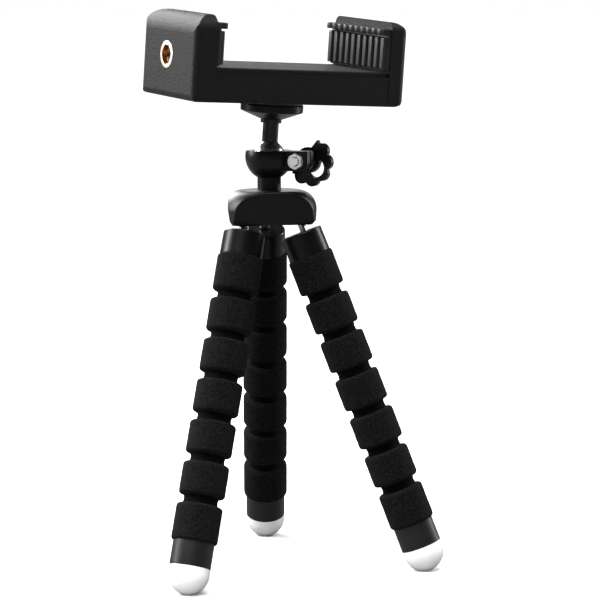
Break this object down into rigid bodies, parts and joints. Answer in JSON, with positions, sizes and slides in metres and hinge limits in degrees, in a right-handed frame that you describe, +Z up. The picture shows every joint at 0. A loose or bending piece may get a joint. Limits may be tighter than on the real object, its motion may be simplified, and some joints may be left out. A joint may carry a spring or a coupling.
{
  "type": "phone tripod",
  "caption": "Pocket tripod with bendable foam-sleeved legs, a locking ball head and a sprung phone clamp.",
  "frame": {"origin": "on the floor, under the middle of the outline", "axes": "+Z up, +X along the phone clamp towards its sliding jaw"},
  "size_m": [0.09, 0.0854, 0.1723],
  "materials": {
    "black_plastic": "fine matte grain",
    "gloss_black": "polished",
    "foam": "matte open-pored foam",
    "black_rubber": "satin",
    "white_rubber": "satin",
    "steel": "plated",
    "brass": "turned",
    "aluminium": "drawn wire"
  },
  "bodies": {
    "hub": {"hub_shell": "gloss_black", "hub_base": "gloss_black", "hub_screws": "steel", "neck_screw": "steel", "socket_cup": "gloss_black", "clamp_nut": "steel", "clamp_washer": "steel"},
    "knob": {"clamp_knob": "gloss_black", "clamp_bolt": "steel"},
    "ball": {"ball": "gloss_black"},
    "head": {"stem": "gloss_black", "platform": "gloss_black", "platform_pad": "black_rubber", "mount_screw": "steel"},
    "clamp": {"clamp_body": "black_plastic", "end_insert": "brass", "base_insert": "brass", "tray_plate": "black_plastic", "cover_screws": "steel", "fixed_jaw_pad": "black_rubber", "fixed_spring_pins": "steel", "jaw_springs": "steel"},
    "jaw": {"sliding_jaw": "black_plastic", "sliding_jaw_pad": "black_rubber", "sliding_spring_pins": "steel"},
    "left_wire": {"left_leg_wire": "aluminium"},
    "left_top": {"left_leg_top_cap": "gloss_black", "left_leg_foam_1": "foam"},
    "left_foam_2": {"left_leg_foam_2": "foam"},
    "left_foam_3": {"left_leg_foam_3": "foam"},
    "left_foam_4": {"left_leg_foam_4": "foam"},
    "left_foam_5": {"left_leg_foam_5": "foam"},
    "left_foam_6": {"left_leg_foam_6": "foam"},
    "left_end": {"left_leg_foam_7": "foam", "left_leg_end_cap": "black_plastic", "left_leg_foot": "white_rubber"},
    "right_wire": {"right_leg_wire": "aluminium"},
    "right_top": {"right_leg_top_cap": "gloss_black", "right_leg_foam_1": "foam"},
    "right_foam_2": {"right_leg_foam_2": "foam"},
    "right_foam_3": {"right_leg_foam_3": "foam"},
    "right_foam_4": {"right_leg_foam_4": "foam"},
    "right_foam_5": {"right_leg_foam_5": "foam"},
    "right_foam_6": {"right_leg_foam_6": "foam"},
    "right_end": {"right_leg_foam_7": "foam", "right_leg_end_cap": "black_plastic", "right_leg_foot": "white_rubber"},
    "rear_wire": {"rear_leg_wire": "aluminium"},
    "rear_top": {"rear_leg_top_cap": "gloss_black", "rear_leg_foam_1": "foam"},
    "rear_foam_2": {"rear_leg_foam_2": "foam"},
    "rear_foam_3": {"rear_leg_foam_3": "foam"},
    "rear_foam_4": {"rear_leg_foam_4": "foam"},
    "rear_foam_5": {"rear_leg_foam_5": "foam"},
    "rear_foam_6": {"rear_leg_foam_6": "foam"},
    "rear_end": {"rear_leg_foam_7": "foam", "rear_leg_end_cap": "black_plastic", "rear_leg_foot": "white_rubber"}
  },
  "joints": [
    {"name": "knob_turn", "type": "hinge", "parent": "hub", "child": "knob", "pos_m": [0.00757, -0.01532, 0.12592], "axis": [-0.8368, -0.5476, 0], "range_deg": [-16, 40]},
    {"name": "ball_pan", "type": "hinge", "parent": "hub", "child": "ball", "pos_m": [0.00182, -0.00653, 0.12752], "axis": [0, 0, 1], "continuous": true},
    {"name": "head_tilt", "type": "hinge", "parent": "ball", "child": "head", "pos_m": [0.00182, -0.00653, 0.12752], "axis": [0.7804, 0.6252, 0], "range_deg": [-40.3, 31.7]},
    {"name": "clamp_swivel", "type": "hinge", "parent": "head", "child": "clamp", "pos_m": [0.00262, -0.00752, 0.14437], "axis": [0.0469, -0.0585, 0.9972], "continuous": true},
    {"name": "jaw_slide", "type": "slide", "parent": "clamp", "child": "jaw", "axis": [0.9989, 0.0027, -0.0468], "range_m": [0, 0.03], "stiffness_N_per_m": 120, "springref_m": -0.02, "deforming": ["jaw_springs"]},
    {"name": "left_leg_swing", "type": "hinge", "parent": "hub", "child": "left_wire", "pos_m": [-0.00739, -0.00841, 0.10607], "axis": [0, 0, 1], "range_deg": [-58.5, 11.5]},
    {"name": "left_leg_spread", "type": "hinge", "parent": "left_wire", "child": "left_top", "pos_m": [-0.00739, -0.00841, 0.10607], "axis": [-0.5736, 0.8192, 0], "range_deg": [-20.9, 7]},
    {"name": "left_leg_bend_1", "type": "hinge", "parent": "left_top", "child": "left_foam_2", "pos_m": [-0.01388, -0.01295, 0.08533], "axis": [0.5736, -0.8192, 0], "range_deg": [-20, 9], "deforming": ["left_leg_wire"]},
    {"name": "left_leg_bend_2", "type": "hinge", "parent": "left_foam_2", "child": "left_foam_3", "pos_m": [-0.01756, -0.01553, 0.07356], "axis": [0.5736, -0.8192, 0], "range_deg": [-20, 9]},
    {"name": "left_leg_bend_3", "type": "hinge", "parent": "left_foam_3", "child": "left_foam_4", "pos_m": [-0.02124, -0.0181, 0.06179], "axis": [0.5736, -0.8192, 0], "range_deg": [-20, 9]},
    {"name": "left_leg_bend_4", "type": "hinge", "parent": "left_foam_4", "child": "left_foam_5", "pos_m": [-0.02492, -0.02068, 0.05002], "axis": [0.5736, -0.8192, 0], "range_deg": [-20, 9]},
    {"name": "left_leg_bend_5", "type": "hinge", "parent": "left_foam_5", "child": "left_foam_6", "pos_m": [-0.0286, -0.02326, 0.03825], "axis": [0.5736, -0.8192, 0], "range_deg": [-20, 9]},
    {"name": "left_leg_bend_6", "type": "hinge", "parent": "left_foam_6", "child": "left_end", "pos_m": [-0.03229, -0.02584, 0.02647], "axis": [0.5736, -0.8192, 0], "range_deg": [-20, 9]},
    {"name": "right_leg_swing", "type": "hinge", "parent": "hub", "child": "right_wire", "pos_m": [0.00805, -0.01357, 0.10607], "axis": [0, 0, 1], "range_deg": [-46.8, 23.2]},
    {"name": "right_leg_spread", "type": "hinge", "parent": "right_wire", "child": "right_top", "pos_m": [0.00805, -0.01357, 0.10607], "axis": [-0.5976, -0.8018, 0], "range_deg": [-20.9, 7]},
    {"name": "right_leg_bend_1", "type": "hinge", "parent": "right_top", "child": "right_foam_2", "pos_m": [0.0144, -0.0183, 0.08533], "axis": [0.5976, 0.8018, 0], "range_deg": [-20, 9], "deforming": ["right_leg_wire"]},
    {"name": "right_leg_bend_2", "type": "hinge", "parent": "right_foam_2", "child": "right_foam_3", "pos_m": [0.01801, -0.02099, 0.07356], "axis": [0.5976, 0.8018, 0], "range_deg": [-20, 9]},
    {"name": "right_leg_bend_3", "type": "hinge", "parent": "right_foam_3", "child": "right_foam_4", "pos_m": [0.02161, -0.02368, 0.06179], "axis": [0.5976, 0.8018, 0], "range_deg": [-20, 9]},
    {"name": "right_leg_bend_4", "type": "hinge", "parent": "right_foam_4", "child": "right_foam_5", "pos_m": [0.02521, -0.02636, 0.05002], "axis": [0.5976, 0.8018, 0], "range_deg": [-20, 9]},
    {"name": "right_leg_bend_5", "type": "hinge", "parent": "right_foam_5", "child": "right_foam_6", "pos_m": [0.02882, -0.02905, 0.03825], "axis": [0.5976, 0.8018, 0], "range_deg": [-20, 9]},
    {"name": "right_leg_bend_6", "type": "hinge", "parent": "right_foam_6", "child": "right_end", "pos_m": [0.03242, -0.03174, 0.02647], "axis": [0.5976, 0.8018, 0], "range_deg": [-20, 9]},
    {"name": "rear_leg_swing", "type": "hinge", "parent": "hub", "child": "rear_wire", "pos_m": [0.00481, 0.00238, 0.10607], "axis": [0, 0, 1], "range_deg": [-26.4, 43.6]},
    {"name": "rear_leg_spread", "type": "hinge", "parent": "rear_wire", "child": "rear_top", "pos_m": [0.00481, 0.00238, 0.10607], "axis": [0.8902, -0.4555, 0], "range_deg": [-20.9, 7]},
    {"name": "rear_leg_bend_1", "type": "hinge", "parent": "rear_top", "child": "rear_foam_2", "pos_m": [0.00841, 0.00943, 0.08533], "axis": [-0.8902, 0.4555, 0], "range_deg": [-20, 9], "deforming": ["rear_leg_wire"]},
    {"name": "rear_leg_bend_2", "type": "hinge", "parent": "rear_foam_2", "child": "rear_foam_3", "pos_m": [0.01046, 0.01343, 0.07356], "axis": [-0.8902, 0.4555, 0], "range_deg": [-20, 9]},
    {"name": "rear_leg_bend_3", "type": "hinge", "parent": "rear_foam_3", "child": "rear_foam_4", "pos_m": [0.01251, 0.01744, 0.06179], "axis": [-0.8902, 0.4555, 0], "range_deg": [-20, 9]},
    {"name": "rear_leg_bend_4", "type": "hinge", "parent": "rear_foam_4", "child": "rear_foam_5", "pos_m": [0.01456, 0.02144, 0.05002], "axis": [-0.8902, 0.4555, 0], "range_deg": [-20, 9]},
    {"name": "rear_leg_bend_5", "type": "hinge", "parent": "rear_foam_5", "child": "rear_foam_6", "pos_m": [0.0166, 0.02544, 0.03825], "axis": [-0.8902, 0.4555, 0], "range_deg": [-20, 9]},
    {"name": "rear_leg_bend_6", "type": "hinge", "parent": "rear_foam_6", "child": "rear_end", "pos_m": [0.01865, 0.02944, 0.02647], "axis": [-0.8902, 0.4555, 0], "range_deg": [-20, 9]}
  ],
  "couplings": [
    {"joint": "left_leg_bend_2", "follows": "left_leg_bend_1", "ratio": 1},
    {"joint": "left_leg_bend_3", "follows": "left_leg_bend_1", "ratio": 1},
    {"joint": "left_leg_bend_4", "follows": "left_leg_bend_1", "ratio": 1},
    {"joint": "left_leg_bend_5", "follows": "left_leg_bend_1", "ratio": 1},
    {"joint": "left_leg_bend_6", "follows": "left_leg_bend_1", "ratio": 1},
    {"joint": "right_leg_bend_2", "follows": "right_leg_bend_1", "ratio": 1},
    {"joint": "right_leg_bend_3", "follows": "right_leg_bend_1", "ratio": 1},
    {"joint": "right_leg_bend_4", "follows": "right_leg_bend_1", "ratio": 1},
    {"joint": "right_leg_bend_5", "follows": "right_leg_bend_1", "ratio": 1},
    {"joint": "right_leg_bend_6", "follows": "right_leg_bend_1", "ratio": 1},
    {"joint": "rear_leg_bend_2", "follows": "rear_leg_bend_1", "ratio": 1},
    {"joint": "rear_leg_bend_3", "follows": "rear_leg_bend_1", "ratio": 1},
    {"joint": "rear_leg_bend_4", "follows": "rear_leg_bend_1", "ratio": 1},
    {"joint": "rear_leg_bend_5", "follows": "rear_leg_bend_1", "ratio": 1},
    {"joint": "rear_leg_bend_6", "follows": "rear_leg_bend_1", "ratio": 1}
  ]
}
